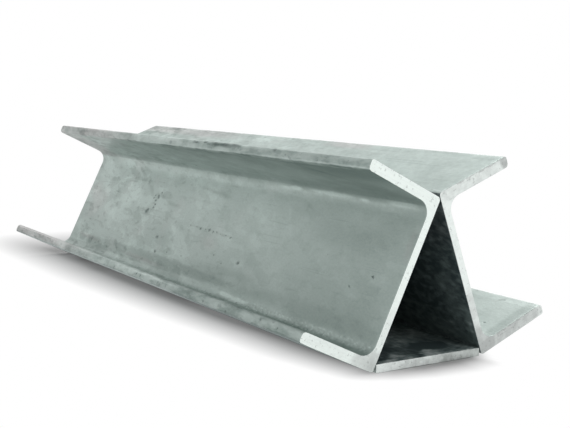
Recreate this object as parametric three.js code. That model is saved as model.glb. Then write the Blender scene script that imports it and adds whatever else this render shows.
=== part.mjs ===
// Built-up steel beam: two equal channels lean together, back to back, over a flat plate.
//
// The flanges of both channels point outwards, square to the webs, so all four rise to the
// outside. The left channel leans more and has the lower upper heel, which rests on the back of
// the right channel's web. The plate lies between the lower heels, with its underside a little
// below them, and closes the triangular hollow that runs along the beam. All cuts are square. At
// the near end they are flush; at the far end the right channel reaches past the other two
// pieces.
//
// Millimetres. +X runs along the beam to the near end, +Y across it from the left channel to the
// right one, +Z up. The origin is on the underside, in the middle of the length and of the width.

import * as THREE from 'three';

// Channel section. The heels are the outer corners, the toes the ends of the flanges and the
// roots the inner corners.
const channelHeight = 125;
const flangeWidth = 65;
const webThickness = 6;
const flangeThickness = 8;
const rootRadius = 10;
const heelRadius = 2.5;
const innerToeRadius = 2.8;
const outerToeRadius = 1.8;

// Flat plate.
const plateThickness = 6;
const plateEdgeRadius = 0.6;

// Assembly.
const beamLength = 545;
const rightOverhang = 10;
const leftLeanDegrees = 25.3;
const rightLeanDegrees = 21.5;
const heelLift = 1;
const jointClearance = 0.3;

const leftLean = THREE.MathUtils.degToRad(leftLeanDegrees);
const rightLean = THREE.MathUtils.degToRad(rightLeanDegrees);
const quarterTurn = Math.PI / 2;
const arcSegments = 4;

const steel = { roughness: 0.45, metalness: 0.9 };
const channelSteel = new THREE.MeshStandardMaterial({ color: 0x8b9590, ...steel });
const plateSteel = new THREE.MeshStandardMaterial({ color: 0x7e8783, ...steel });

// A closed outline through right-angled corners, each given as [x, y, radius] and rounded by a
// quarter arc.
function roundedOutline(corners) {
  const outline = new THREE.Shape();
  corners.forEach(([x, y, radius], index) => {
    const corner = new THREE.Vector2(x, y);
    const [lastX, lastY] = corners.at(index - 1);
    const [nextX, nextY] = corners[(index + 1) % corners.length];
    const back = new THREE.Vector2(lastX, lastY).sub(corner).setLength(radius);
    const ahead = new THREE.Vector2(nextX, nextY).sub(corner).setLength(radius);
    const centre = corner.clone().add(back).add(ahead);
    const clockwise = back.cross(ahead) > 0;
    const startAngle = ahead.clone().negate().angle();
    const endAngle = back.clone().negate().angle();
    outline.absarc(centre.x, centre.y, radius, startAngle, endAngle, clockwise);
  });
  outline.closePath();
  return outline;
}

// The channel's section, with the back of the web on x = 0 and the flanges towards +x.
function channelSection() {
  const innerBottom = flangeThickness;
  const innerTop = channelHeight - flangeThickness;
  return roundedOutline([
    [0, 0, heelRadius],
    [flangeWidth, 0, outerToeRadius],
    [flangeWidth, innerBottom, innerToeRadius],
    [webThickness, innerBottom, rootRadius],
    [webThickness, innerTop, rootRadius],
    [flangeWidth, innerTop, innerToeRadius],
    [flangeWidth, channelHeight, outerToeRadius],
    [0, channelHeight, heelRadius],
  ]);
}

function extrudeAlongBeam(section, length) {
  return new THREE.ExtrudeGeometry(section, {
    depth: length,
    bevelEnabled: false,
    curveSegments: arcSegments,
  });
}

// Distance between the centres of the two lower heel rounds. The upper heel of the channel that
// leans more then clears the back of the other web by the joint clearance.
function heelSpacing() {
  const heelToHeel = channelHeight - 2 * heelRadius;
  const reachToBack = heelToHeel * Math.sin(leftLean + rightLean);
  const steeperLean = Math.min(leftLean, rightLean);
  return (reachToBack + 2 * heelRadius + jointClearance) / Math.cos(steeperLean);
}

// How far inside a channel's heel round the plate's side lies. The plate's rounded upper edge
// clears the back of the leaning web by the joint clearance.
function plateInset(lean) {
  const edgeHeight = plateThickness - plateEdgeRadius;
  const edgeAboveHeel = edgeHeight - heelLift - heelRadius;
  const edgeReach = heelRadius + jointClearance + plateEdgeRadius + edgeAboveHeel * Math.sin(lean);
  return edgeReach / Math.cos(lean) - plateEdgeRadius;
}

// Turns an extrusion so that its length lies along the beam, the outline's y points up and the
// outline's x points to the given side: 1 for the right, -1 for the left.
function laidAlongBeam(mesh, side) {
  const frame = new THREE.Group();
  frame.add(mesh);
  frame.rotation.set(quarterTurn, side * quarterTurn, 0);
  return frame;
}

// A channel leaning in over the hollow, turned about the centre of its lower heel round. It
// reaches past the far end of the beam by the overhang.
function leaningChannel(name, side, lean, overhang) {
  const section = extrudeAlongBeam(channelSection(), beamLength + overhang);
  const channel = new THREE.Mesh(section, channelSteel);
  channel.name = name;
  channel.position.set(-heelRadius, -heelRadius, -(beamLength + overhang) / 2);
  const pivot = new THREE.Group();
  pivot.add(laidAlongBeam(channel, side));
  pivot.position.set(-overhang / 2, side * heelSpacing() / 2, heelLift + heelRadius);
  pivot.rotation.x = side * lean;
  return pivot;
}

// The plate between the lower heels.
function bottomPlate() {
  const leftSide = plateInset(leftLean) - heelSpacing() / 2;
  const rightSide = heelSpacing() / 2 - plateInset(rightLean);
  const section = roundedOutline([
    [leftSide, 0, plateEdgeRadius],
    [rightSide, 0, plateEdgeRadius],
    [rightSide, plateThickness, plateEdgeRadius],
    [leftSide, plateThickness, plateEdgeRadius],
  ]);
  const plate = new THREE.Mesh(extrudeAlongBeam(section, beamLength), plateSteel);
  plate.name = 'bottom_plate';
  plate.position.z = -beamLength / 2;
  return laidAlongBeam(plate, 1);
}

const beam = new THREE.Group();
beam.add(leaningChannel('left_channel', -1, leftLean, 0));
beam.add(leaningChannel('right_channel', 1, rightLean, rightOverhang));
beam.add(bottomPlate());

// The two leans and lengths differ, so the origin is centred on what the pieces span.
const span = new THREE.Box3().setFromObject(beam, true);
beam.position.x = -(span.min.x + span.max.x) / 2;
beam.position.y = -(span.min.y + span.max.y) / 2;

export default beam;
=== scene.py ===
import math
import random

import bpy
from mathutils import Matrix, Vector, noise


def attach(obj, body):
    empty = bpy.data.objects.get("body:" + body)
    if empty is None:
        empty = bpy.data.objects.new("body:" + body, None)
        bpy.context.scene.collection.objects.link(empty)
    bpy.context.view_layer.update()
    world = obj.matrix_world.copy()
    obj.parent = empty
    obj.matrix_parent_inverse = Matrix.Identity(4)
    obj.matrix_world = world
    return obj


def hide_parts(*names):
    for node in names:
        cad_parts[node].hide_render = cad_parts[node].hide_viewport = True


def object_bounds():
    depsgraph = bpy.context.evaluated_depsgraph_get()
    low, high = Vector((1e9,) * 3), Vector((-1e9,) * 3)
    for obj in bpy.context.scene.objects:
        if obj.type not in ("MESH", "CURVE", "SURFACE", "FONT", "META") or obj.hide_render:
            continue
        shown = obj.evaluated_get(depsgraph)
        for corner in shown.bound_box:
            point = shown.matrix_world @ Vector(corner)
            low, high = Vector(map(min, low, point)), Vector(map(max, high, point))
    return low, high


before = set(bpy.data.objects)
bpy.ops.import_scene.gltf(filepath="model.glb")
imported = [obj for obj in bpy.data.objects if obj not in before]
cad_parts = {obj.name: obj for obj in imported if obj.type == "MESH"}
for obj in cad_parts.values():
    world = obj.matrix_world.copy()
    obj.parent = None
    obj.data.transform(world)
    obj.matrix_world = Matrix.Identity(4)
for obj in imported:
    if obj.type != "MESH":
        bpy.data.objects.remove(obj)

# Two leaning steel channels over a flat plate. Each piece's own end outline is swept along the
# beam as a fine mesh, worn and dented, and finished as rolled steel with sawn ends.

cadLow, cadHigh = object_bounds()
millimetre = 0.001


# Camera

cameraSettings = {
    "place": (0.7739, -0.4441, 0.1804),
    "headingDegrees": 56.87,  # from +Y towards -X
    "lookDownDegrees": 6.92,
    "rollDegrees": 1.23,
    "focalPixels": 995.5,
    "widthPixels": 570,
    "sensorWidth": 36.0,
}


def makeCamera(settings):
    data = bpy.data.cameras.new("viewCamera")
    data.sensor_width = settings["sensorWidth"]
    data.lens = settings["sensorWidth"] * settings["focalPixels"] / settings["widthPixels"]
    camera = bpy.data.objects.new("viewCamera", data)
    bpy.context.scene.collection.objects.link(camera)
    heading = Matrix.Rotation(math.radians(settings["headingDegrees"]), 4, "Z")
    tip = Matrix.Rotation(math.radians(90 - settings["lookDownDegrees"]), 4, "X")
    roll = Matrix.Rotation(math.radians(settings["rollDegrees"]), 4, "Z")
    camera.matrix_world = Matrix.Translation(settings["place"]) @ heading @ tip @ roll
    bpy.context.scene.camera = camera


makeCamera(cameraSettings)
print("camera placed")


# Outlines, taken from the frame

endTolerance = 0.1 * millimetre  # how far short of the end a point of it may lie
placeDigits = 6  # decimals of a metre by which points are told apart
cornerTurn = 0.02  # radians that the outline turns by at a point of an outward corner
noCorner = 1.0  # metres, more than the distance to any corner


def lengthSpan(nodeName):
    places = [vertex.co.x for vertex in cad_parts[nodeName].data.vertices]
    return min(places), max(places)


def endOutline(nodeName):
    # the closed loop of (y, z) points round the end at high X, made of the edges that only one
    # triangle of that end uses
    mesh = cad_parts[nodeName].data
    edges = set()
    for face in mesh.polygons:
        ring = [mesh.vertices[index].co for index in face.vertices]
        if any(cadHigh.x - point.x > endTolerance for point in ring):
            continue
        ring = [(round(point.y, placeDigits), round(point.z, placeDigits)) for point in ring]
        for start, end in zip(ring, ring[1:] + ring[:1]):
            if (end, start) in edges:
                edges.remove((end, start))
            else:
                edges.add((start, end))
    following = dict(edges)
    loop = [min(following)]
    while following[loop[-1]] != loop[0]:
        loop.append(following[loop[-1]])
    return [Vector(point) for point in loop]


def pieceAxes(outline):
    # the longest straight side is the back of a channel's web or a face of the plate. Returns
    # the corner that it starts from and the unit directions away from it and along it
    sides = list(zip(outline, outline[1:] + outline[:1]))
    start, end = max(sides, key=lambda side: (side[1] - side[0]).length)
    if end.y < start.y:
        start, end = end, start
    along = (end - start).normalized()
    away = Vector((along.y, -along.x))
    middle = sum(outline, Vector((0, 0))) / len(outline)
    if (middle - start).dot(away) < 0:
        away = -away
    lowest = min((point - start).dot(along) for point in outline)
    return start + along * lowest, away, along


def resample(outline, stepFor):
    points = []
    for start, end in zip(outline, outline[1:] + outline[:1]):
        count = max(1, math.ceil((end - start).length / stepFor((start + end) / 2)))
        for index in range(count):
            points.append(start.lerp(end, index / count))
    return points


def outwardNormals(points):
    normals = []
    for index, point in enumerate(points):
        before = point - points[index - 1]
        after = points[(index + 1) % len(points)] - point
        tangent = before.normalized() + after.normalized()
        normals.append(Vector((tangent.y, -tangent.x)).normalized())
    return normals


def distanceToCorners(points, normals):
    # distance round the outline from each point to the nearest outward corner
    count = len(points)
    gaps = [(points[(i + 1) % count] - points[i]).length for i in range(count)]
    distances = []
    for index in range(count):
        turn = normals[index - 1].angle_signed(normals[(index + 1) % count])
        distances.append(0.0 if turn < -cornerTurn else noCorner)
    for _ in range(2):
        for index in range(count):
            distances[index] = min(distances[index], distances[index - 1] + gaps[index - 1])
        for index in reversed(range(count)):
            following = (index + 1) % count
            distances[index] = min(distances[index], distances[following] + gaps[index])
    return distances


def cornerPoints(points, distances):
    # one point in the middle of each outward corner's arc
    corners = []
    run = []
    for point, distance in zip(points + points[:1], distances + [noCorner]):
        if distance == 0.0:
            run.append(point)
        elif run:
            corners.append(run[len(run) // 2])
            run = []
    return corners


# Node helpers

def newMaterial(name):
    material = bpy.data.materials.new(name)
    material.use_nodes = True
    material.node_tree.nodes.clear()
    return material


def addNode(tree, kind, inputs=None, **options):
    node = tree.nodes.new(kind)
    for option, value in options.items():
        setattr(node, option, value)
    for socket, value in (inputs or {}).items():
        if isinstance(value, bpy.types.NodeSocket):
            tree.links.new(value, node.inputs[socket])
        else:
            node.inputs[socket].default_value = value
    return node


def attribute(tree, name, output="Fac"):
    return addNode(tree, "ShaderNodeAttribute", attribute_name=name).outputs[output]


def maths(tree, operation, first, second=0.0, clamp=False):
    inputs = {0: first, 1: second}
    return addNode(tree, "ShaderNodeMath", inputs, operation=operation, use_clamp=clamp).outputs[0]


def scaled(tree, value, factor):
    return maths(tree, "MULTIPLY", value, factor)


def total(tree, values):
    result = values[0]
    for value in values[1:]:
        result = maths(tree, "ADD", result, value)
    return result


def vectorMaths(tree, operation, first, second):
    node = addNode(tree, "ShaderNodeVectorMath", {0: first, 1: second}, operation=operation)
    return node.outputs["Value" if operation == "DISTANCE" else "Vector"]


def ramp(tree, value, low, high, kind="SMOOTHSTEP"):
    # 0 at low, 1 at high
    inputs = {"Value": value, "From Min": low, "From Max": high}
    return addNode(tree, "ShaderNodeMapRange", inputs, interpolation_type=kind).outputs["Result"]


def mixColours(tree, factor, first, second, blend="MIX"):
    inputs = {0: factor, 6: first, 7: second}
    return addNode(tree, "ShaderNodeMix", inputs, data_type="RGBA", blend_type=blend).outputs[2]


def tinted(tree, colour, factor, plainTint, fullTint):
    # the colour multiplied by a tint, plain where the factor is 0 and full where it is 1
    return mixColours(tree, 1.0, colour, mixColours(tree, factor, plainTint, fullTint), "MULTIPLY")


def mixValues(tree, factor, first, second):
    return addNode(tree, "ShaderNodeMix", {0: factor, 2: first, 3: second}, data_type="FLOAT").outputs[0]


def wandering(tree, place, reach, scale, detail, rough=0.5):
    # the place moved about by noise, by half of the reach each way
    inputs = {"Vector": place, "Scale": scale, "Detail": detail, "Roughness": rough}
    centred = addNode(tree, "ShaderNodeTexNoise", inputs).outputs["Color"]
    centred = vectorMaths(tree, "SUBTRACT", centred, (0.5, 0.5, 0.5))
    return vectorMaths(tree, "ADD", place, vectorMaths(tree, "MULTIPLY", centred, reach))


def clouds(tree, place, scale, low, high, stretch=(1, 1, 1), shift=0.0, detail=4.0, rough=0.55):
    # a soft mask from noise; scale is in features a metre, and shift picks another part of the noise
    spot = vectorMaths(tree, "MULTIPLY", place, stretch)
    spot = vectorMaths(tree, "ADD", spot, (shift, shift * 1.7, shift * 2.3))
    inputs = {"Vector": spot, "Scale": scale, "Detail": detail, "Roughness": rough}
    return ramp(tree, addNode(tree, "ShaderNodeTexNoise", inputs).outputs["Fac"], low, high)


def specks(tree, place, scale, share, radius):
    # round spots in a share of the cells of a grid; radius is in parts of a cell
    cells = addNode(tree, "ShaderNodeTexVoronoi", {"Vector": place, "Scale": scale})
    near = ramp(tree, cells.outputs["Distance"], radius, radius * 0.4)
    chance = addNode(tree, "ShaderNodeSeparateColor", {0: cells.outputs["Color"]}).outputs[0]
    return maths(tree, "MULTIPLY", near, maths(tree, "LESS_THAN", chance, share))


def addSurface(tree, colour, roughness, metal, bumps):
    # bumps are pairs of depth and height, each on top of the one before
    normal = {}
    for depth, height in bumps:
        inputs = {"Strength": 1.0, "Distance": depth, "Height": height, **normal}
        normal = {"Normal": addNode(tree, "ShaderNodeBump", inputs).outputs[0]}
    shader = addNode(tree, "ShaderNodeBsdfPrincipled", {
        "Base Color": colour, "Roughness": roughness, "Metallic": metal, **normal})
    addNode(tree, "ShaderNodeOutputMaterial", {"Surface": shader.outputs[0]})


# Finish of the rolled faces

white = (1, 1, 1, 1)

rolledSettings = {
    "light": (0.44375, 0.5225, 0.49325, 1),  # broad clouds between these two
    "dark": (0.38786, 0.460856, 0.4337432, 1),
    "bloomAndLight": (0.590, 0.685, 0.650, 1),  # paler scuffs, and the painted light of the positive tones
    # dark grime, and the painted shade of the negative tones
    "grimeAndShade": (0.150, 0.201, 0.183, 1),
    "grimeAndShadeTone": -1.4,  # the tone that is all grime and painted shade; 0 is plain and 1 all bloom and painted light
    "warmth": (1.13, 0.965, 1.005, 1),  # takes the green out of the far toes and a few patches
    "pit": (0.06, 0.085, 0.08, 1),
    "brightEdge": (0.66, 0.74, 0.71, 1),
    "scaleDark": (0.028, 0.046, 0.048, 1),  # mill scale in the hollow, at tones 0, 1 and 2
    "scaleLight": (0.145, 0.190, 0.185, 1),
    "scalePale": (0.44, 0.50, 0.49, 1),
    "grainDark": (0.93, 0.93, 0.93, 1),
    "grainLight": (1.05, 1.05, 1.05, 1),
    "metal": 0.26,
    "scaleMetal": 0.15,
    "roughness": (0.42, 0.52),
    "pitRoughness": 0.25,  # more than the steel's
    "scaleRoughness": 0.62,
    "grainDepth": 0.03 * millimetre,
    "pitDepth": 0.35 * millimetre,
    # how far each of these covers the steel
    "warmShare": 0.22,
    "scratchShare": 0.18,
    "speckShare": 0.6,
    "pitShare": 0.68,
    "rubbedShare": 0.28,
    "nickShare": 0.32,
    "flakeShare": 0.6,
    # noise that moves the borders of patches, and less those of pits; reach is in metres
    "patchWander": {"reach": (0.016, 0.001, 0.0045), "scale": 75, "detail": 4.0, "rough": 0.6},
    "pitWander": {"reach": (0.0040, 0.0030, 0.0030), "scale": 420, "detail": 2.0},
    # mottling: borders as they are, leaning or wavy, features a metre, where the mask starts and ends,
    # stretch along the beam, shift, detail and strength
    "mottles": (
        ("plain", 16, 0.36, 0.64, 0.7, 1.9, 4.0, 0.14),
        ("leaning", 42, 0.50, 0.56, 0.4, 3.1, 2.0, 0.155),
        ("leaning", 60, 0.56, 0.61, 0.45, 7.4, 2.0, -0.155),
        ("leaning", 95, 0.56, 0.63, 0.4, 5.2, 3.0, 0.14),
        ("wavy", 240, 0.56, 0.66, 0.4, 2.7, 3.0, -0.18)),
    "leanDegrees": -8,
    "mottleLevel": -0.06,  # added, so that the mean stays
    "mottleSpan": (0.20, -0.24),  # metres along the beam between the weakest and the strongest mottling
    "mottleCurve": 1.3,
    "mottleStrength": (0.65, 3.0),
    # masks from noise: features a metre, where the mask starts and ends, stretch, shift, detail and
    # roughness of the noise
    "tint": (11, 0.32, 0.68),
    "warmClouds": (24, 0.57, 0.72, (1, 1, 1), 7.7, 2.0),
    "grain": (650, 0.25, 0.75, (0.6, 1, 1), 2.2, 3.0, 0.7),
    "scratches": (500, 0.66, 0.72, (0.03, 1, 1), 6.6, 1.0),
    "rubbed": (130, 0.40, 0.60, (0.35, 1, 1), 4.4),
    "nicks": (170, 0.62, 0.68, (0.6, 1, 1), 9.1, 3.0),
    "flakes": (190, 0.42, 0.68, (0.55, 1, 1), 6.3, 5.0, 0.65),
    "sheen": (32, 0.3, 0.7, (0.5, 1, 1), 8.2),
    "specks": (70, 0.07, 0.11),  # cells a metre, share of them with a speck, radius in parts of a cell
    "rubbedReach": (1.4 * millimetre, 0.0),  # from the corner: none of it and all of it
    "nickReach": (5.0 * millimetre, 2.0 * millimetre),
}


def addMarks(tree, pitted, place, marks):
    # pits and gouges: mm along the beam, out and up, radius in mm and half length along the beam
    squeezed = {1.0: place}
    for x, away, up, radius, half in marks:
        squeeze = round(radius / half, 4)
        if squeeze not in squeezed:
            squeezed[squeeze] = vectorMaths(tree, "MULTIPLY", place, (squeeze, 1, 1))
        spot = (x * squeeze * millimetre, away * millimetre, up * millimetre)
        gap = vectorMaths(tree, "DISTANCE", squeezed[squeeze], spot)
        mark = ramp(tree, gap, radius * 1.3 * millimetre, radius * 0.1 * millimetre)
        pitted = maths(tree, "MAXIMUM", pitted, mark)
    return pitted


def mottling(tree, settings, place, wavy, farther):
    # broad clouds, blotches with firm borders and small flakes, stronger to the far end
    drifted = wandering(tree, place, **settings["patchWander"])
    lean = (0, math.radians(settings["leanDegrees"]), 0)
    leaning = addNode(tree, "ShaderNodeMapping", {"Vector": drifted, "Rotation": lean}).outputs[0]
    borders = {"plain": place, "leaning": leaning, "wavy": wavy}
    layers = []
    for border, scale, low, high, stretch, shift, detail, strength in settings["mottles"]:
        mask = clouds(tree, borders[border], scale, low, high, (stretch, 1, 1), shift, detail)
        layers.append(scaled(tree, mask, strength))
    level = maths(tree, "ADD", total(tree, layers), settings["mottleLevel"])
    curve = maths(tree, "POWER", farther, settings["mottleCurve"])
    return maths(tree, "MULTIPLY", level, mixValues(tree, curve, *settings["mottleStrength"]))


def rolledSteel(name, settings, marks=()):
    material = newMaterial(name)
    tree = material.node_tree
    place = attribute(tree, "place", "Vector")
    edgeDistance = attribute(tree, "edgeDistance")
    hollow = attribute(tree, "hollow")
    tone = attribute(tree, "toneAndPaintedLight")
    warmth = attribute(tree, "warmth")
    wavy = wandering(tree, place, **settings["pitWander"])
    along = addNode(tree, "ShaderNodeSeparateXYZ", {0: place}).outputs[0]
    farther = ramp(tree, along, *settings["mottleSpan"], "LINEAR")

    # the painted tone, with painted light and shade in it, and the mottling, from grime and painted shade
    # over plain steel to bloom and painted light
    steelTone = maths(tree, "ADD", tone, mottling(tree, settings, place, wavy, farther))
    colour = mixColours(tree, clouds(tree, place, *settings["tint"]), settings["dark"], settings["light"])
    colour = mixColours(tree, ramp(tree, steelTone, 0.0, 1.0, "LINEAR"), colour, settings["bloomAndLight"])
    grimeAndShade = ramp(tree, steelTone, 0.0, settings["grimeAndShadeTone"], "LINEAR")
    colour = mixColours(tree, grimeAndShade, colour, settings["grimeAndShade"])
    warm = clouds(tree, place, *settings["warmClouds"])
    warm = maths(tree, "MULTIPLY", warm, scaled(tree, farther, settings["warmShare"]))
    warm = maths(tree, "ADD", warm, warmth, True)
    colour = tinted(tree, colour, warm, white, settings["warmth"])

    # fine grain, scratches along the beam, small pits and the marks
    grain = clouds(tree, place, *settings["grain"])
    colour = tinted(tree, colour, grain, settings["grainDark"], settings["grainLight"])
    scratched = scaled(tree, clouds(tree, place, *settings["scratches"]), settings["scratchShare"])
    colour = mixColours(tree, scratched, colour, settings["grimeAndShade"])
    pitted = scaled(tree, specks(tree, wavy, *settings["specks"]), settings["speckShare"])
    pitted = addMarks(tree, pitted, wavy, marks)
    colour = mixColours(tree, scaled(tree, pitted, settings["pitShare"]), colour, settings["pit"])

    # corners rubbed bright, with dark nicks
    rubbed = ramp(tree, edgeDistance, *settings["rubbedReach"])
    rubbed = maths(tree, "MULTIPLY", rubbed, clouds(tree, place, *settings["rubbed"]))
    colour = mixColours(tree, scaled(tree, rubbed, settings["rubbedShare"]), colour, settings["brightEdge"])
    nick = ramp(tree, edgeDistance, *settings["nickReach"])
    nick = maths(tree, "MULTIPLY", clouds(tree, place, *settings["nicks"]), nick)
    colour = mixColours(tree, scaled(tree, nick, settings["nickShare"]), colour, settings["pit"])

    # dark mill scale in the hollow
    flakes = scaled(tree, clouds(tree, place, *settings["flakes"]), settings["flakeShare"])
    scaleTone = maths(tree, "ADD", flakes, tone)
    paler = ramp(tree, scaleTone, 0.0, 1.0, "LINEAR")
    scale = mixColours(tree, paler, settings["scaleDark"], settings["scaleLight"])
    scale = mixColours(tree, ramp(tree, scaleTone, 1.0, 2.0, "LINEAR"), scale, settings["scalePale"])
    scale = tinted(tree, scale, warmth, white, settings["warmth"])
    colour = mixColours(tree, hollow, colour, scale)

    roughness = mixValues(tree, clouds(tree, place, *settings["sheen"]), *settings["roughness"])
    roughness = maths(tree, "ADD", roughness, scaled(tree, pitted, settings["pitRoughness"]))
    roughness = mixValues(tree, hollow, roughness, settings["scaleRoughness"])
    metal = mixValues(tree, hollow, settings["metal"], settings["scaleMetal"])
    pitHeight = maths(tree, "SUBTRACT", 1.0, pitted)
    bumps = ((settings["grainDepth"], grain), (settings["pitDepth"], pitHeight))
    addSurface(tree, colour, roughness, metal, bumps)
    return material


# Finish of the sawn ends

sawnSettings = {
    "fleck": (0.76, 0.76, 0.76, 1),  # how much of the colour a dark fleck leaves
    "kerfDark": (0.97, 0.97, 0.97, 1),
    "kerfLight": (1.01, 1.01, 1.01, 1),
    "kerfDepth": 0.03 * millimetre,
    "roughness": 0.5,
    "metal": 0.75,
    "dullAndShadeWander": {"reach": (0, 0.003, 0.005), "scale": 260, "detail": 3.0},
    "dullAndShadeBorder": (1.25, 0.75),  # none of a darker place and all of it, in parts of its half size
    "blotches": (190, 0.35, 0.65, (1, 1, 1), 2.6),  # masks, as above
    "flecks": (420, 0.60, 0.72, (1, 1, 1), 5.1, 2.0),
    "kerf": (900, 0.3, 0.7, (0, 0.05, 1), 0.4, 2.0),  # saw lines, out from the web
}


def sawnSteel(name, settings, end):
    material = newMaterial(name)
    tree = material.node_tree
    place = attribute(tree, "place", "Vector")
    wavy = wandering(tree, place, **settings["dullAndShadeWander"])
    blotches = maths(tree, "SUBTRACT", clouds(tree, place, *settings["blotches"]), 0.5)
    # darker places on the cut, partly dull steel and partly painted shade near the floor, with random
    # blotches
    dullnessAndShade = scaled(tree, blotches, end["blotches"])
    for away, up, halfAway, halfUp, strength in end["dullAndShadedPlaces"]:
        squeezed = vectorMaths(tree, "MULTIPLY", wavy, (0, 1000 / halfAway, 1000 / halfUp))
        reach = vectorMaths(tree, "DISTANCE", squeezed, (0, away / halfAway, up / halfUp))
        dullAndShaded = scaled(tree, ramp(tree, reach, *settings["dullAndShadeBorder"]), strength)
        dullnessAndShade = maths(tree, "ADD", dullnessAndShade, dullAndShaded)
    colour = mixColours(tree, maths(tree, "ADD", dullnessAndShade, 0.0, True), end["bright"], end["dullAndShaded"])

    kerf = clouds(tree, place, *settings["kerf"])
    colour = tinted(tree, colour, kerf, settings["kerfDark"], settings["kerfLight"])
    flecks = clouds(tree, place, *settings["flecks"])
    colour = tinted(tree, colour, flecks, white, settings["fleck"])
    addSurface(tree, colour, settings["roughness"], settings["metal"], ((settings["kerfDepth"], kerf),))
    return material


# Wear, as depths below the rolled surface

wearSettings = {
    "rollWaveDepth": 0.10 * millimetre,
    "rollWaveLength": 0.11,
    "edgeRippleDepth": 0.22 * millimetre,
    "edgeRippleLength": 0.006,
    "edgeReach": 2.5 * millimetre,
    "dentsPerEdge": 26,
    "dentDepth": (0.15 * millimetre, 0.55 * millimetre),
    "dentRadius": (1.5 * millimetre, 5.0 * millimetre),
    "sawChamfer": 0.12 * millimetre,
}


def makeDents(settings, corners, span, seed):
    # knocks on the outward corners: where along the beam, which corner, how wide and how deep
    dice = random.Random(seed)
    dents = []
    for corner in corners:
        for _ in range(settings["dentsPerEdge"]):
            centre = dice.uniform(*span)
            radius = dice.uniform(*settings["dentRadius"])
            depth = dice.uniform(*settings["dentDepth"]) * dice.random() ** 2
            dents.append((centre, corner, radius, depth))
    return dents


def wearDepth(settings, x, point, distance, dents):
    wave = noise.noise(Vector((x, point.x, point.y)) / settings["rollWaveLength"])
    depth = settings["rollWaveDepth"] * (0.5 + 0.5 * wave)
    reach = settings["edgeReach"]
    if distance < reach:
        ripple = noise.noise(Vector((x, point.x, point.y)) / settings["edgeRippleLength"])
        nearness = 1 - distance / reach
        depth += settings["edgeRippleDepth"] * nearness * max(0.0, ripple)
    for centre, corner, radius, dentDepth in dents:
        if abs(x - centre) < radius:
            spread = ((x - centre) ** 2 + (point - corner).length_squared) / radius ** 2
            if spread < 1:
                depth += dentDepth * (1 - spread) ** 2
    return depth


# Sweeping

sweepSettings = {
    "cornerStep": 0.5 * millimetre,  # across the corners of the left channel's toes
    "fineStep": 1.25 * millimetre,  # across the faces that show their marks
    "plainStep": 5.5 * millimetre,  # across the others
    "nearStep": 1.5 * millimetre,  # along the beam at the near end
    "farStep": 2.1 * millimetre,
}


def makeStations(settings, farEnd, nearEnd, chamfer):
    # places of the rings along the beam, the first and the last two of them a chamfer apart
    length = nearEnd - farEnd
    steps = [chamfer]
    while steps[-1] < length - chamfer:
        last = steps[-1]
        share = last / length
        steps.append(last + (1 - share) * settings["farStep"] + share * settings["nearStep"])
    stretch = (length - 2 * chamfer) / (steps[-1] - chamfer)
    return [farEnd] + [farEnd + chamfer + (step - chamfer) * stretch for step in steps] + [nearEnd]


def ringFaces(ring, rows):
    # the sides between rows of points, then the two ends
    faces = []
    for row in range(rows - 1):
        low, high = row * ring, (row + 1) * ring
        for index in range(ring):
            following = (index + 1) % ring
            faces.append((low + index, low + following, high + following, high + index))
    last = (rows - 1) * ring
    faces.append(tuple(range(last, last + ring)))
    faces.append(tuple(reversed(range(ring))))
    return faces


def sweepPiece(name, nodeName, seed, stepAt, isHollowFace, paint, rolled, sawn):
    outline = endOutline(nodeName)
    origin, away, along = pieceAxes(outline)

    def stepFor(point):
        local = (point - origin) / millimetre
        return sweepSettings[stepAt(local.dot(away), local.dot(along))]

    points = resample(outline, stepFor)
    normals = outwardNormals(points)
    distances = distanceToCorners(points, normals)
    spots = [((point - origin).dot(away), (point - origin).dot(along)) for point in points]
    hollows = [float(isHollowFace(*spot, normal)) for spot, normal in zip(spots, normals)]
    farEnd, nearEnd = lengthSpan(nodeName)
    middle = (farEnd + nearEnd) / 2
    dents = makeDents(wearSettings, cornerPoints(points, distances), (farEnd, nearEnd), seed)
    chamfer = wearSettings["sawChamfer"]
    stations = makeStations(sweepSettings, farEnd, nearEnd, chamfer)

    vertices = []
    places = []
    tones = []
    warmths = []
    for x in stations:
        cut = chamfer if x in (farEnd, nearEnd) else 0.0
        nearby = [dent for dent in dents if abs(x - dent[0]) < dent[2]]
        toneAt = paint(x - middle)
        for point, normal, distance, spot in zip(points, normals, distances, spots):
            depth = wearDepth(wearSettings, x, point, distance, nearby) + cut
            worn = point - normal * depth
            vertices.append((x, worn.x, worn.y))
            places += (x - middle, *spot)
            tone, warmth = toneAt(*spot)
            tones.append(tone)
            warmths.append(warmth)

    mesh = bpy.data.meshes.new(name)
    faces = ringFaces(len(points), len(stations))
    mesh.from_pydata(vertices, [], faces)
    mesh.attributes.new("place", "FLOAT_VECTOR", "POINT").data.foreach_set("vector", places)
    rows = len(stations)
    layers = {"edgeDistance": distances * rows, "hollow": hollows * rows, "toneAndPaintedLight": tones, "warmth": warmths}
    for label, values in layers.items():
        mesh.attributes.new(label, "FLOAT", "POINT").data.foreach_set("value", values)
    mesh.materials.append(rolled)
    mesh.materials.append(sawn)
    for face in mesh.polygons:
        isSide = face.index < len(faces) - 2
        face.use_smooth = isSide
        face.material_index = 0 if isSide else 1
    mesh.validate()
    piece = bpy.data.objects.new(name, mesh)
    bpy.context.scene.collection.objects.link(piece)
    print(name, "swept,", len(mesh.polygons), "faces")
    return piece


# Painted tones and warmth, which the rolled finish reads at each point. The tones hold painted light and
# shade as well as patches of the steel. Places are in mm: along the beam from its middle, out from the
# back of the web, and up the web

paintSettings = {
    "noiseSeed": 4,
    "driftSize": 13,  # coarse and fine noise that moves the patches, and how far along the beam
    "rippleSize": 4,
    "driftReach": 4,
    "rippleReach": 2,
    "reachMargin": 7,  # more than the noise moves a patch along the beam
}

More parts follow.
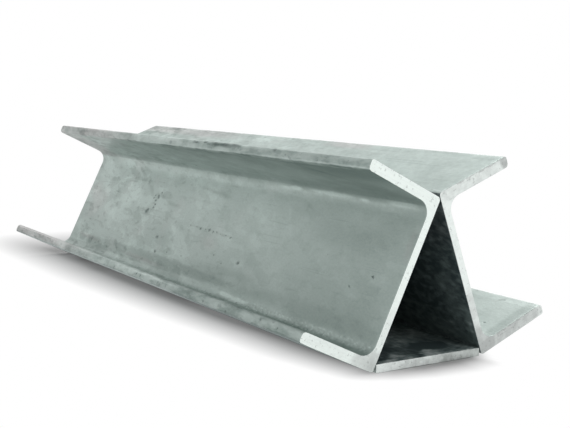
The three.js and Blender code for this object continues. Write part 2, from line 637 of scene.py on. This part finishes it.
faceBorders = {
    "back": 1,  # out to here it is the back of the web
    "web": 20,  # out to here the web and its roots
    "underside": 10.2,  # from here out the top flange's underside
    "toe": 62.3,  # from here out the toes
    "bottomFace": 0.5,  # up to here the bottom flange's outer face
    "topFace": 124,  # from here up the top flange's outer face
    "middle": 60,  # of the height
}

noise.seed_set(paintSettings["noiseSeed"])  # noise_vector differs from run to run without it


def smooth(low, high, value):
    share = min(1.0, max(0.0, (value - low) / (high - low)))
    return share * share * (3 - 2 * share)


def between(points, value):
    # straight lines from point to point
    for (low, start), (high, end) in zip(points, points[1:]):
        if value < high:
            return start + (end - start) * max(0.0, (value - low) / (high - low))
    return points[-1][1]


def readPatch(middle, middleUp, half, halfUp, strength, slant=0, softness=0.5):
    # adds how far the patch reaches along the beam, and the slant as cosine and sine
    turn = math.radians(slant)
    cosine, sine = math.cos(turn), math.sin(turn)
    reach = (1 + softness) * math.hypot(half * cosine, halfUp * sine)
    return middle, reach, middleUp, half, halfUp, cosine, sine, softness, strength


def patchesNear(patches, here):
    margin = paintSettings["reachMargin"]
    read = [readPatch(*patch) for patch in patches]
    return [patch for patch in read if abs(here - patch[0]) < patch[1] + margin]


def patchTone(patches, along, up):
    tone = 0.0
    for middle, _, middleUp, half, halfUp, cosine, sine, softness, strength in patches:
        x, y = along - middle, up - middleUp
        reach = math.hypot((x * cosine + y * sine) / half, (y * cosine - x * sine) / halfUp)
        if reach < 1 + softness:
            tone += strength * smooth(1 + softness, 1 - softness, reach)
    return tone


def noises(settings, here, away, up):
    # the two noises at a place, and where along the beam they move it to
    drift = noise.noise_vector(Vector((here, away, up)) / settings["driftSize"])
    ripple = noise.noise_vector(Vector((here, away, up)) / settings["rippleSize"])
    return drift, ripple, here + settings["driftReach"] * drift.x + settings["rippleReach"] * ripple.x


# The left channel

leftChannelSettings = {
    "dentSeed": 11,
    "sawnEnd": {
        "bright": (0.865, 0.935, 0.900, 1),
        "dullAndShaded": (0.46, 0.485, 0.475, 1),
        # darker places, partly dull steel and partly painted shade low by the floor: mm out from the web's
        # back and up the web, half sizes the same way, strength
        "dullAndShadedPlaces": ((35, 4, 42, 7, 0.16), (3, 22, 6, 22, 0.16), (6, 4, 14, 10, 0.38)),
        "blotches": 0.10,
    },
    # marks: mm along the beam and up the web, radius in mm, and for a gouge half its length
    "webPits": (
        (-115.2, 83.4, 1.3), (-108.7, 83.6, 1.4), (-104.2, 87.3, 1.2), (-116.1, 80.7, 1.2),
        (-107.4, 82.1, 1.6), (-110.8, 78.6, 1.5), (-108.4, 74.6, 1.3), (-109.8, 71.2, 1.4),
        (-118.7, 67.6, 1.9), (-120.6, 65.8, 2.3), (-24, 63.6, 0.8), (-5.3, 62.9, 1.3), (10.8, 63.5, 1.6),
        (17.9, 62.6, 1.2), (-77.1, 44.7, 2), (-13, 63.6, 0.7), (3.5, 63.4, 0.7), (24.5, 63, 0.8),
        (31, 62.4, 0.9), (41, 62.6, 0.9), (49, 61.6, 0.9), (-69.6, 31, 1.6), (-19.5, 34, 0.9),
        (33.9, 43.5, 0.9), (75.2, 42.9, 1.7), (243.7, 60.8, 0.7), (223.1, 50, 0.9), (-47, 33.6, 0.9),
        (51, 38.5, 0.7)),
    "toePits": (
        (-12.5, 2.1, 1.7), (39, 3, 1.5), (32, 4.4, 1.2), (72, 3.4, 1.3), (79, 3.8, 1.2), (86, 3.1, 1.6),
        (147, 2.7, 1.3), (180, 1.4, 1.2), (224.5, 5, 1.7), (246, 4.1, 1.3), (158, 123.6, 1.3)),
    "toeGouges": (
        (70, 122.7, 2.2, 10), (86, 123, 2.6, 13), (101, 123.4, 2.8, 9), (53, 123.2, 1, 4),
        (36, 122.6, 1.2, 6), (158, 123.4, 1.4, 3)),
    "webMarks": (6, 1.6),  # mm out where the web's marks lie, and how much longer than wide they are
    "toeMarks": (65, 1),
    # paler (positive) and darker (negative) patches on the web: middle along the beam and up the web,
    # half length and half height, strength, and where they aren't 0 and 0.5 the slant in degrees and
    # the softness
    "webPatches": (
        (-248, 106, 16, 5, 0.3, -20), (-244, 91, 16, 7, 0.32, -10), (-243, 63, 9, 5, 0.25, 20),
        (-232, 45, 11, 11, -0.14, 0, 0.6), (-212, 101, 13, 5, -0.2, -30, 0.4),
        (-215, 68, 10, 10, 0.12, 0, 0.6), (-258, 38, 10, 4, 0.25, 10), (-193, 50, 8, 9, 0.35, 40, 0.4),
        (-163, 78, 18, 9, 0.22, 15), (-192, 112, 32, 3, 0.04), (-155, 97, 18, 1.6, -0.22, -5, 0.6),
        (-132, 91, 13, 2.6, -0.42, -37, 0.6), (-113, 77, 11, 5, -0.22, 70, 0.7),
        (-120, 66, 6, 4, -0.35, 60, 0.7), (-131, 46, 16, 6, -0.24, 5, 0.4), (-78, 101, 12, 4, -0.26),
        (-74, 78.5, 12, 1.8, -0.4, -4, 0.6), (-95, 62, 10, 8, 0.16, 0, 0.4), (-66, 42, 11, 6, -0.14, 10),
        (-10, 98.6, 33, 1.4, -0.3, -5, 0.6), (9, 97.5, 15, 3, -0.34, -4, 0.6),
        (-25, 87.5, 43, 0.8, -0.2, 0, 0.8), (12, 63, 40, 0.7, -0.32, -1, 0.9),
        (41, 62, 9, 1.2, -0.3, -5, 0.8), (22, 56, 12, 4, -0.08), (70, 84, 26, 12, 0.1, 20, 0.3),
        (98, 60, 22, 8, 0.14, -15, 0.3), (131, 52, 14, 6, 0.1, 30, 0.3), (157, 93, 48, 15, -0.01, -10, 0.25),
        (108, 105, 20, 3, -0.14), (228, 84, 34, 19, -0.04, 5, 0.25), (180, 62, 13, 10, 0.08, 35, 0.2),
        (96, 34, 22, 7, -0.2), (-120, 36, 130, 9, 0.12), (205, 40, 30, 8, 0.02, 10, 0.3),
        (262, 70, 9, 28, 0.1),
        # dark band above the lower root, and the paler strip under it
        (-95, 22.4, 165, 6.4, -0.5, 0.4, 0.16), (-35, 23.5, 58, 5.6, -0.2, 0, 0.3),
        (60, 27, 75, 8.5, -0.3, 0, 0.4), (190, 24, 90, 6.5, -0.16), (-88, 20, 34, 1.3, -0.2, -1, 0.7),
        (-225, 24, 26, 1.6, -0.3, -3, 0.6), (-145, 14.6, 22, 2, 0.4, 0, 0.4),
        (77, 15.4, 10, 1.9, 1.2, 0, 0.4), (99, 14.8, 12, 1.6, 0.85, 0, 0.4),
        (31, 44.5, 4, 0.8, -0.35, -5, 0.6), (46, 39, 6, 1, -0.3, 8, 0.6), (57, 30, 7, 1, -0.25, 5, 0.6),
        (163, 14.2, 14, 1.3, 0.4), (222, 14.8, 36, 1.8, 0.34),
        # bright streaks along the upper root
        (118, 113.4, 8, 1.2, 1.15, 0, 0.4), (101, 112.6, 9, 1, 0.8), (165, 113.5, 29, 1.1, 1.05, 0, 0.4),
        (250, 113.6, 19, 1.6, 0.85, 0, 0.4), (205, 112.6, 6, 1, 0.8), (180, 111.8, 95, 0.9, 0.35, 0, 0.6),
        # finer corrections of tone
        (-230, 14.5, 48, 2.6, -0.34, 0, 0.4), (235, 102, 48, 9, 0.2), (225, 112, 56, 2.2, 0.16),
        (155, 40, 26, 7, -0.13), (178, 70, 14, 8, 0.1), (-25, 14.5, 14, 2.2, -0.15, 0, 0.4),
        (-135, 99, 55, 5, -0.2), (-258, 90, 14, 8, 0.14), (140, 25, 30, 5, -0.1), (-245, 112, 28, 3.5, -0.3),
        (-225, 74, 46, 12, -0.12), (-100, 13.5, 18, 1.6, -0.14, 0, 0.4), (96, 13.5, 12, 1.4, 0.35, 0, 0.4),
        (-55, 100, 30, 6, -0.06), (-130, 22.5, 60, 5.5, -0.16, 0, 0.3), (-185, 98, 22, 6, -0.18),
        (-250, 112, 24, 4, -0.2), (-25, 98, 25, 5, -0.16), (-278, 62, 5, 52, -0.3, 0, 0.4)),
    "warmPatches": (
        (-240, 60, 20, 12, 0.8, 30, 0.8), (-255, 75, 12, 8, 0.9, 0, 0.8), (-88, 20, 36, 2.2, 0.9, -1, 0.7),
        (-225, 24, 26, 2, 0.8, -3, 0.6), (20, 52, 12, 5, 0.5, 0, 0.6), (268, 88, 4, 12, 0.6)),
    "toePatches": (
        (-165, 5.4, 36, 2.4, 0.42, 0, 0.4), (-5, 4.8, 52, 2.6, 0.24), (60, 5.6, 18, 1.4, 0.4, 0, 0.4),
        (-30, 5.7, 120, 1.3, 0.18, 0, 0.4), (-112, 1.6, 18, 2.2, -0.3), (-240, 1, 26, 3, -0.15),
        (-132, 120.5, 12, 3, -0.22), (-60, 121, 60, 2.2, 0.16, 0, 0.6), (110, 121.6, 50, 1, -0.1),
        (-34, 122.8, 36, 1.6, 0.34), (112, 123.6, 9, 1.2, 0.6), (135, 122.9, 14, 0.9, 0.3),
        (58, 122.9, 14, 0.9, 0.25), (12, 6, 14, 0.5, 0.45, 0, 0.4), (38, 5.8, 12, 0.5, 0.55, 0, 0.4),
        (52, 6.5, 8, 0.4, 0.7, 0, 0.4), (70, 5.6, 9, 0.6, 0.7, 0, 0.4), (86, 5.2, 7, 0.5, 0.5, 0, 0.4),
        (98, 5.6, 9, 0.5, 0.6, 0, 0.4), (28, 4.6, 8, 0.4, 0.3, 0, 0.4), (60, 4.2, 6, 0.4, 0.3, 0, 0.4),
        (45, 3.4, 5, 0.5, -0.3, 0, 0.4), (66, 2.6, 7, 0.4, -0.3, 0, 0.4), (20, 2.4, 6, 0.4, -0.25, 0, 0.4),
        # dirt in the gouges
        (78, 122.4, 8, 1, -0.8, 0, 0.4), (95, 122.2, 12, 0.9, -0.45, 0, 0.4),
        (106, 123, 5, 0.9, -0.5, 0, 0.4), (57, 122.2, 2.5, 0.8, -0.6, 0, 0.4),
        (36, 122.2, 5, 0.9, -0.35, 0, 0.4)),
    # the same on the top flange's underside, where the second number is how far out
    "undersidePatches": (
        (-118, 63.5, 28, 1.2, -0.2, 3), (170, 40, 34, 5, 0.14, -28, 0.3), (205, 44, 26, 2, -0.16, -28, 0.4),
        (100, 28, 42, 4, 0.1, -12, 0.4), (20, 46, 60, 3, -0.08, -8), (240, 22, 26, 9, -0.14, -10),
        (-85, 12, 32, 3, -0.16), (55, 45, 40, 6, 0.06), (-190, 52, 40, 1.2, 0.16, 20),
        (-235, 36, 24, 1.2, -0.16, 24)),
    # tones along the beam: mm and tone. The shading tables and the lit underside are painted light and
    # shade, the lower root's table painted shade
    "webShading": (
        (-272, 0.13), (-180, 0.32), (-60, 0.29), (60, 0.13), (130, -0.1), (190, -0.44), (272, -0.64)),
    "topToeShading": (
        (-272, -1.32), (-230, -1.06), (-200, -0.74), (-150, -0.64), (-105, -0.6), (-65, -0.6), (-25, -0.53),
        (15, -0.68), (55, -0.62), (95, -0.86), (135, -0.82), (175, -1.02), (215, -1.08), (255, -0.96)),
    "bottomToeShading": (
        (-272, -0.58), (-225, -0.72), (-185, -0.64), (-145, -0.54), (-105, -0.78), (-65, -0.7), (-25, -0.62),
        (15, -0.66), (55, -0.92), (95, -1.18), (135, -1.1), (175, -1), (215, -1.1), (255, -0.98)),
    "rubbedToeEdge": (  # added on the upper corner of the bottom toe
        (-272, 1.5), (-225, 2), (-185, 2.3), (-145, 0.8), (-105, 1.05), (-25, 0.8), (15, 0.1), (55, 0.2),
        (95, 0.3), (135, 0.05), (272, 0.05)),
    "litUnderside": (
        (-272, -0.7), (-225, -0.56), (-185, -0.14), (-140, -0.04)),
    "rootShade": (  # painted shade, taken off along the lower root
        (-272, 0.25), (-200, 0.33), (-110, 0.42), (-40, 0.58), (60, 0.68), (130, 0.62), (272, 0.55)),
}


def isBackOrBottom(away, up, normal):
    # the web's back, and the bottom flange's outer face with its corner, which take the scale finish; on
    # the bottom face it stands for painted shade
    return away < faceBorders["back"] * millimetre or up < faceBorders["bottomFace"] * millimetre


def leftStep(away, up):
    # fine on the web's outer face, the top flange's underside and the toes, finest at the toes' corners
    if away > 62 and (up < 2 or 5 < up < 9 or 116 < up < 120 or up > 123):
        return "cornerStep"
    return "fineStep" if away > 64 or 1 < away < 16 or 112 < up < 120 else "plainStep"


def toePaint(settings, patches, along, up, drift, ripple):
    up += 0.3 * drift.z + 0.3 * ripple.z
    isTop = up > faceBorders["middle"]
    tone = between(settings["topToeShading" if isTop else "bottomToeShading"], along)
    tone += 0.16 * drift.y + 0.22 * ripple.y + patchTone(patches, along, up)
    if isTop:
        # painted highlight along the lower corner, painted shade as dark as the underside below it; upper
        # corner rubbed
        cornerHighlight = smooth(118.8, 118.2, up) * smooth(117.3, 117.6, up)
        highlightStrength = 0.1 + 0.25 * smooth(-20, 40, along) + 0.3 * smooth(110, 200, along)
        rubbedFrom = 122.8 - 0.6 * smooth(-100, -200, along)
        tone += highlightStrength * cornerHighlight
        tone -= 1.3 * smooth(117.6, 117.3, up) * smooth(-145, -115, along)
        tone += 0.7 * smooth(rubbedFrom, 124.2, up)
    else:
        # lower corner in shade, upper corner rubbed
        shadeStrength = 0.8 + 0.5 * smooth(70, 130, along)
        tone -= shadeStrength * smooth(1.5, 0.6, up)
        tone += between(settings["rubbedToeEdge"], along) * smooth(5.4, 6.8, up)
    return tone, smooth(-50, -190, along)


def undersidePaint(settings, patches, here, along, away, drift, ripple):
    # lit at the far end, as far as a slanting border, and shaded near the toe beyond it
    litBorder = 60.3 + 0.415 * (here + 142.5)
    lit = smooth(-0.7, 0.7, away - litBorder)
    away += 2.0 * drift.y + 0.8 * ripple.y
    # painted shade over the underside, deeper towards both ends
    tone = -0.26 - 0.16 * smooth(-60, 60, along) - 0.46 * smooth(120, 235, along)
    tone -= 0.2 * smooth(-150, -215, along)
    tone -= 0.14 * smooth(-130, -170, along) * smooth(20, 28, away)
    tone += (between(settings["litUnderside"], along) - 0.16 * smooth(50, 58, away) - tone) * lit
    shaded = (1 - lit) * (0.32 * smooth(-185, -140, along) + 0.68 * smooth(-115, -60, along))
    shadeStrength = 0.56 * smooth(28, 56, away) + 0.45 * smooth(56, 61, away)
    tone -= shadeStrength * shaded
    return tone + patchTone(patches, along, away), 0.6 * smooth(-215, -250, along)


def webPaint(settings, patches, warmPatches, here, along, up, drift, ripple):
    # calmer near the roots, where the patches' borders run straight
    fromRoot = min(up - 12, 112 - up)
    calm = 0.25 + 0.75 * smooth(0, 18, fromRoot)
    up += calm * (1.3 * drift.z + 0.7 * ripple.z)
    tone = between(settings["webShading"], along) + patchTone(patches, along, up)
    # painted shade along the lower root, heavier towards the near end, and a crust of specks above it there
    speckle = noise.noise(Vector((here / 2.4, up / 1.3, 3.0)))
    grimeAndShade = smooth(7.4, 8.2, up) * smooth(12.2, 10.6, up + 2.0 * speckle)
    tone -= between(settings["rootShade"], along) * (1 + 0.5 * drift.x) * grimeAndShade
    crust = smooth(11.0, 12.4, up) * smooth(18, 15, up) * smooth(60, 120, along)
    tone += (1.6 * max(0.0, speckle - 0.10) - 1.0 * max(0.0, -speckle - 0.10)) * crust
    tone -= 0.22 * smooth(12, 13, up) * smooth(18, 16, up) * smooth(60, 0, along)
    return tone, 0.5 * patchTone(warmPatches, along, up)


def leftPaint(x):
    # tone and warmth of the left channel at one place along the beam, as a function of the point there
    settings = leftChannelSettings
    here = x / millimetre
    onWeb = patchesNear(settings["webPatches"], here)
    warmOnWeb = patchesNear(settings["warmPatches"], here)
    onToes = patchesNear(settings["toePatches"], here)
    onUnderside = patchesNear(settings["undersidePatches"], here)

    def toneAt(away, up):
        away, up = away / millimetre, up / millimetre
        if away < faceBorders["back"]:
            return 0.0, 0.0
        # the bottom flange's outer face, in scale as painted shade, darker towards the near end
        if up < faceBorders["bottomFace"]:
            return 1.35 - 0.75 * smooth(70, 130, here), 0.0
        drift, ripple, along = noises(paintSettings, here, away, up)
        if away > faceBorders["toe"]:
            return toePaint(settings, onToes, along, up, drift, ripple)
        if up > faceBorders["middle"] and away > faceBorders["underside"]:
            return undersidePaint(settings, onUnderside, here, along, away, drift, ripple)
        if away > faceBorders["web"]:
            return 0.0, 0.0
        return webPaint(settings, onWeb, warmOnWeb, here, along, up, drift, ripple)

    return toneAt


def markList(settings):
    webOut, webStretch = settings["webMarks"]
    toeOut, toeStretch = settings["toeMarks"]
    marks = [(x, webOut, up, radius, radius * webStretch) for x, up, radius in settings["webPits"]]
    marks += [(x, toeOut, up, radius, radius * toeStretch) for x, up, radius in settings["toePits"]]
    return marks + [(x, toeOut, up, radius, half) for x, up, radius, half in settings["toeGouges"]]


leftChannel = sweepPiece(
    "leftChannel", "left_channel", leftChannelSettings["dentSeed"], leftStep, isBackOrBottom, leftPaint,
    rolledSteel("rolledSteelLeft", rolledSettings, markList(leftChannelSettings)),
    sawnSteel("sawnLeftEnd", sawnSettings, leftChannelSettings["sawnEnd"]))


# The right channel

rightChannelSettings = {
    "dentSeed": 12,
    "sawnEnd": {
        "bright": (0.850, 0.905, 0.880, 1),
        "dullAndShaded": (0.46, 0.485, 0.475, 1),
        # darker places, partly dull steel and partly painted shade low by the floor
        "dullAndShadedPlaces": (
            (30, 121, 40, 6, 0.28), (63.5, 121, 5, 6, 0.62), (36, 125, 36, 1, 0.45), (3, 33, 6, 16, 0.38),
            (0, 6, 14, 14, 0.8), (33, 4, 32, 7, 0.76), (40, 8, 25, 0.9, 0.25), (64, 5, 4, 4, -0.06)),
        "blotches": 0.22,
    },
    # patches on the outer face of the top flange, where the second number is how far out, and on the
    # back of the web
    "topPatches": (
        (-205, 53, 15, 4, -0.42, -35), (-270, 55, 9, 9, -0.22), (-245, 60, 24, 3, -0.16),
        (-20, 50, 30, 6, 0.14, -25), (-120, 58, 44, 4, -0.14, 0, 0.6), (80, 58, 30, 3, 0.1),
        (268, 60, 12, 5, -0.3), (215, 62, 18, 2, -0.35), (250, 22, 20, 8, -0.12, -30),
        (-70, 54, 12, 2, 0.2, -40), (30, 56, 14, 2, -0.2, -40), (150, 52, 26, 3, 0.12, -30)),
    "wallPatches": (
        (270, 102, 18, 20, 0.12, 0, 0.6), (262, 54, 16, 12, 0.2, 30, 0.6), (250, 54, 8, 6, 0.16, 0, 0.6),
        (263, 36, 10, 8, 0.3, 0, 0.6), (274, 27, 3, 11, 0.5, 0, 0.6), (240, 26, 9, 4, -0.12, 15),
        (212, 17, 16, 8, -0.2, 0, 0.6), (264, 17, 9, 2, -0.3, -5), (258, 88, 5, 1.5, 0.3, 20)),
    # painted light and shade along the top flange's outer face: mm along the beam and tone
    "topShading": (
        (-277, -0.32), (-222, -0.4), (-160, -0.38), (-125, -0.2), (-85, -0.02), (-22, 0.14), (18, 0.08),
        (58, -0.05), (98, 0.04), (178, -0.04), (218, -0.02), (277, -0.2)),
}


def isBackOfWeb(away, up, normal):
    return away < faceBorders["back"] * millimetre


def rightStep(away, up):
    # fine on the web's back and the top flange's outer face
    return "fineStep" if away < faceBorders["back"] or up > faceBorders["topFace"] else "plainStep"


def rightPaint(x):
    settings = rightChannelSettings
    here = x / millimetre
    onWall = patchesNear(settings["wallPatches"], here)
    onTop = patchesNear(settings["topPatches"], here)

    def toneAt(away, up):
        away, up = away / millimetre, up / millimetre
        drift, ripple, along = noises(paintSettings, here, away, up)
        if away < faceBorders["back"]:
            # scale with streaks along the beam, paler low down
            up += 3 * drift.z + 2 * ripple.z
            streak = noise.noise(Vector((here / 7, up / 2.4, 5.0)))
            tone = 0.46 * smooth(40, 12, up) + 0.30 * ripple.y + 0.34 * streak
            return tone + patchTone(onWall, along, up), 0.6 * smooth(75, 100, up)
        if up > faceBorders["topFace"]:
            away += 2 * drift.y + ripple.y
            tone = between(settings["topShading"], along) + patchTone(onTop, along, away) + 0.25 * ripple.z
            farWarmth = 0.7 * smooth(-40, -120, along) * smooth(44, 54, away)
            nearWarmth = 0.7 * smooth(60, 90, along) * smooth(140, 120, along) * smooth(52, 58, away)
            return tone, farWarmth + nearWarmth
        if up < 20 and away > 8:
            # the bottom flange's inner face, darker just behind the near end
            return 0.2 * drift.y - 0.02 - 0.5 * smooth(266, 270, here), 0.2
        return 0.35 * noise.noise(Vector((here, away, up)) / 30), 0.0

    return toneAt


rightChannel = sweepPiece(
    "rightChannel", "right_channel", rightChannelSettings["dentSeed"], rightStep, isBackOfWeb, rightPaint,
    rolledSteel("rolledSteelRight", rolledSettings),
    sawnSteel("sawnRightEnd", sawnSettings, rightChannelSettings["sawnEnd"]))


# The bottom plate

bottomPlateSettings = {
    "dentSeed": 13,
    "sawnEnd": {
        "bright": (0.89, 0.94, 0.92, 1),
        "dullAndShaded": (0.43, 0.465, 0.447, 1),
        # darker places, partly dull steel and partly painted shade low by the floor: mm up from the underside
        # and across the plate, half sizes the same way, strength
        "dullAndShadedPlaces": ((3, 55, 12, 35, 0.20), (3, 80, 12, 24, 0.54), (3, 89, 12, 8, 0.22)),
        "blotches": 0.40,
    },
    # on the top face, where the second number is how far across
    "topPatches": (
        (216, 66, 30, 16, 0.85, -42), (251, 62, 9, 14, -2, 0, 0.4), (264, 54, 6, 8, 1.3, 20, 0.4),
        (266, 84, 6, 6, 0.4), (264, 41, 5, 4, -0.3, 0, 0.4), (246, 32, 7, 5, -0.3, -30, 0.4),
        (267, 31, 5, 6, 0.9, 0, 0.4), (262, 22, 5, 4, 0.8, -40, 0.4), (270, 14, 3, 9, 1.3, 0, 0.4),
        (266, 9, 3, 3, -0.7, 0, 0.4), (240, 44, 12, 3, 0.3, -42), (271, 68, 2, 20, 0.6),
        (212, 88, 8, 3, -0.3), (260, 28, 6, 4, 0.6), (232, 83, 30, 6, 0.6)),
    "driftSize": 11,  # noise, as in paintSettings
    "rippleSize": 3.5,
    "driftReach": 3,
    "rippleReach": 2,
    "topFacing": 0.6,  # how far a normal has to point up on the top face
}


def isPlateTop(away, up, normal):
    return normal.y > bottomPlateSettings["topFacing"]


def plateStep(away, up):
    return "fineStep"


def platePaint(x):
    settings = bottomPlateSettings
    here = x / millimetre
    near = patchesNear(settings["topPatches"], here)

    def toneAt(away, up):
        away, up = away / millimetre, up / millimetre
        drift, ripple, along = noises(settings, here, away, up)
        # paler flakes at the near end
        tone = 0.12 + 0.62 * ripple.y + 1.4 * max(0.0, ripple.z) * smooth(248, 268, here)
        across = up + 3 * drift.z + 2 * ripple.z
        return tone + patchTone(near, along, across), 0.1

    return toneAt


bottomPlate = sweepPiece(
    "bottomPlate", "bottom_plate", bottomPlateSettings["dentSeed"], plateStep, isPlateTop, platePaint,
    rolledSteel("rolledSteelPlate", rolledSettings),
    sawnSteel("sawnPlateEnd", sawnSettings, bottomPlateSettings["sawnEnd"]))

for piece, nodeName, slotName in (
    (leftChannel, "left_channel", "channel_steel"),
    (rightChannel, "right_channel", "channel_steel"),
    (bottomPlate, "bottom_plate", "plate_steel"),
):
    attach(piece, "root")
    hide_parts(nodeName)
print("pieces matched to their solids")


# Floor, world and lamps

studioSettings = {
    "floorColour": (0.45, 0.45, 0.45, 1),
    "floorSize": 8.0,
    "floorDrop": 0.3 * millimetre,
    "fineAlong": (-0.440, 0.336),  # where the floor's mesh is fine
    "fineAcross": (-0.132, 0.132),
    "fineStep": 0.004,
    # the floor keeps its lit shading inside this outline and fades to plain white round it, which paints
    # the shadow's soft edge, over a distance that depends on the side: beside the beam it shortens towards
    # the near end
    "shadeOutline": (
        (-0.305, -0.06), (0.02, -0.0575), (0.09, -0.056), (0.15, -0.051), (0.203, -0.05), (0.25, -0.0435),
        (0.268, -0.04), (0.2735, -0.03), (0.279, -0.01), (0.281, 0.02), (0.278, 0.036), (0.262, 0.046),
        (0.24, 0.05), (-0.305, 0.05)),
    "reachBeside": (
        (-0.13, 0.055), (0.03, 0.0455), (0.1, 0.042), (0.16, 0.042), (0.24, 0.037), (0.277, 0.034)),
    "reachFar": 0.130,
    "reachNear": 0.026,
    "reachBehind": 0.014,
    # the share of white that is left, painted light that lifts the shadow, along the beam: first on the
    # outline and then from heelReach inside it
    "whiteOnOutline": (
        (-0.29, 0), (-0.27, 0.11), (-0.25, 0.19), (-0.22, 0.165), (-0.19, 0.16), (-0.16, 0.125),
        (-0.13, 0.145), (-0.1, 0.12), (-0.03, 0.125), (0.01, 0.13), (0.06, 0.14), (0.11, 0.147),
        (0.16, 0.145), (0.2, 0.17), (0.24, 0.13), (0.262, 0.13), (0.28, 0)),
    "heelReach": 0.006,
    "whiteAtHeel": (
        (-0.29, 0), (-0.27, 0.09), (-0.25, 0.15), (-0.22, 0.09), (-0.19, 0.115), (-0.16, 0.12),
        (-0.13, 0.13), (-0.1, 0.135), (-0.03, 0.115), (0.01, 0.11), (0.06, 0.17), (0.11, 0.17), (0.16, 0.15),
        (0.262, 0.13), (0.28, 0)),
    "fill": 0.36,
    "lamps": (  # name, place, size, watts, aim
        ("backLamp", (-0.20, 0.80, 1.15), (0.8, 0.6), 13.5, (0.0, 0.0, 0.05)),
        ("frontLamp", (0.005, -0.8526, 0.5411), (1.2, 0.05), 1.6, (0.005, -0.005, 0.1055)),
        ("endLamp", (1.2, 0.2, 1.1), (0.7, 0.7), 4.0, (0.27, 0.0, 0.07))),
}


def whiteShare(settings, spot):
    # how much of the floor's colour is plain white at a spot; near the beam this paints light into the
    # shadow and shapes its edge
    outline = [Vector(point) for point in settings["shadeOutline"]]
    inside = False
    nearest = None
    for start, end in zip(outline, outline[1:] + outline[:1]):
        side = end - start
        if (start.y > spot.y) != (end.y > spot.y) and spot.x < start.x + side.x * (spot.y - start.y) / side.y:
            inside = not inside
        share = min(1.0, max(0.0, (spot - start).dot(side) / side.length_squared))
        gap = spot - (start + side * share)
        if nearest is None or gap.length < nearest.length:
            nearest = gap
    least = between(settings["whiteOnOutline"], spot.x)
    if inside:
        depth = min(1.0, nearest.length / settings["heelReach"])
        return least + (between(settings["whiteAtHeel"], spot.x) - least) * depth
    reachAlong = settings["reachFar"] if nearest.x < 0 else settings["reachNear"]
    reachAcross = settings["reachBehind"]
    if nearest.y <= 0:
        reachAcross = between(settings["reachBeside"], spot.x - nearest.x)
    return least + (1 - least) * min(1.0, math.hypot(nearest.x / reachAlong, nearest.y / reachAcross))


def gridLines(span, step, far):
    low, high = span
    count = round((high - low) / step)
    return [-far] + [low + step * index for index in range(count + 1)] + [far]


def makeFloor(settings):
    half = settings["floorSize"] / 2
    acrossX = gridLines(settings["fineAlong"], settings["fineStep"], half)
    acrossY = gridLines(settings["fineAcross"], settings["fineStep"], half)
    vertices = [(x, y, 0) for y in acrossY for x in acrossX]
    row = len(acrossX)
    faces = []
    for down in range(len(acrossY) - 1):
        for side in range(row - 1):
            first = down * row + side
            faces.append((first, first + 1, first + 1 + row, first + row))
    mesh = bpy.data.meshes.new("floor")
    mesh.from_pydata(vertices, [], faces)
    shares = [whiteShare(settings, Vector((x, y))) for x, y, _ in vertices]
    mesh.attributes.new("white", "FLOAT", "POINT").data.foreach_set("value", shares)
    floor = bpy.data.objects.new("floor", mesh)
    floor.location.z = cadLow.z - settings["floorDrop"]
    bpy.context.scene.collection.objects.link(floor)
    material = newMaterial("floorWhite")
    tree = material.node_tree
    matt = addNode(tree, "ShaderNodeBsdfDiffuse", {"Color": settings["floorColour"]})
    bright = addNode(tree, "ShaderNodeEmission", {"Color": white, "Strength": 1.0})
    shares = attribute(tree, "white")
    blend = addNode(tree, "ShaderNodeMixShader", {0: shares, 1: matt.outputs[0], 2: bright.outputs[0]})
    addNode(tree, "ShaderNodeOutputMaterial", {"Surface": blend.outputs[0]})
    mesh.materials.append(material)


def makeWorld(settings):
    world = bpy.data.worlds.new("whiteStudio")
    bpy.context.scene.world = world
    world.use_nodes = True
    tree = world.node_tree
    tree.nodes.clear()
    path = addNode(tree, "ShaderNodeLightPath")
    seen = maths(tree, "ADD", path.outputs["Is Camera Ray"], path.outputs["Is Glossy Ray"])
    seen = maths(tree, "ADD", seen, path.outputs["Is Transmission Ray"], True)
    strength = mixValues(tree, seen, settings["fill"], 1.0)
    backdrop = addNode(tree, "ShaderNodeBackground", {"Color": white, "Strength": strength})
    addNode(tree, "ShaderNodeOutputWorld", {"Surface": backdrop.outputs[0]})


def makeLamp(name, place, size, watts, aim):
    data = bpy.data.lights.new(name, "AREA")
    data.shape = "RECTANGLE"
    data.size, data.size_y = size
    data.energy = watts
    lamp = bpy.data.objects.new(name, data)
    lamp.location = place
    lamp.rotation_mode = "QUATERNION"
    lamp.rotation_quaternion = (Vector(aim) - Vector(place)).to_track_quat("-Z", "Y")
    bpy.context.scene.collection.objects.link(lamp)


makeFloor(studioSettings)
makeWorld(studioSettings)
for lampValues in studioSettings["lamps"]:
    makeLamp(*lampValues)
bpy.context.scene.view_settings.view_transform = "Standard"
print("floor and lamps set")
